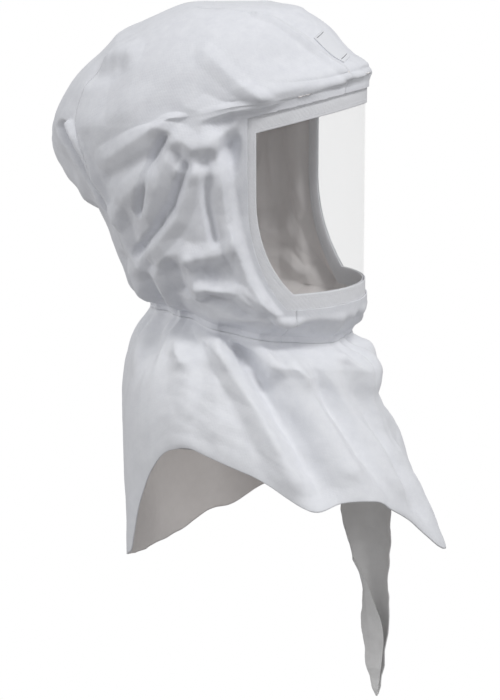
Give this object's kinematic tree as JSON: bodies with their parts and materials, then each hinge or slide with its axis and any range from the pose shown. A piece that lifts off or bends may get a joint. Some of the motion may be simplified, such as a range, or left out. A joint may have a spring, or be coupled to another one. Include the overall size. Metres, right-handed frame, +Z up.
{
  "type": "respirator hood",
  "caption": "Loose white nonwoven cloth hood for supplied air, with a curved clear visor in a taped window, a gathered neck, a shoulder cape and an inner shroud with a hanging tail",
  "frame": {"origin": "the inside of the crown, where the hood sits on the head", "axes": "+Z is up, the face looks along -Y, and the wearer's left is +X"},
  "size_m": [0.3449, 0.4142, 0.7151],
  "materials": {
    "hood_cloth": "white nonwoven cloth with a fine diagonal emboss, matt",
    "shroud_cloth": "thinner white nonwoven cloth, matt, slightly translucent",
    "binding_tape": "white nonwoven tape, stitched",
    "label_cloth": "smooth white woven patch, bare",
    "clear_sheet": "clear, thin bent plastic sheet"
  },
  "bodies": {
    "root": {"crown_panel": "hood_cloth", "side_panel_right": "hood_cloth", "side_panel_left": "hood_cloth", "chin_panel": "hood_cloth", "brow_label": "label_cloth", "visor": "clear_sheet", "visor_binding": "binding_tape", "neck_casing": "hood_cloth", "outer_shroud": "shroud_cloth", "inner_shroud": "shroud_cloth"}
  },
  "joints": []
}
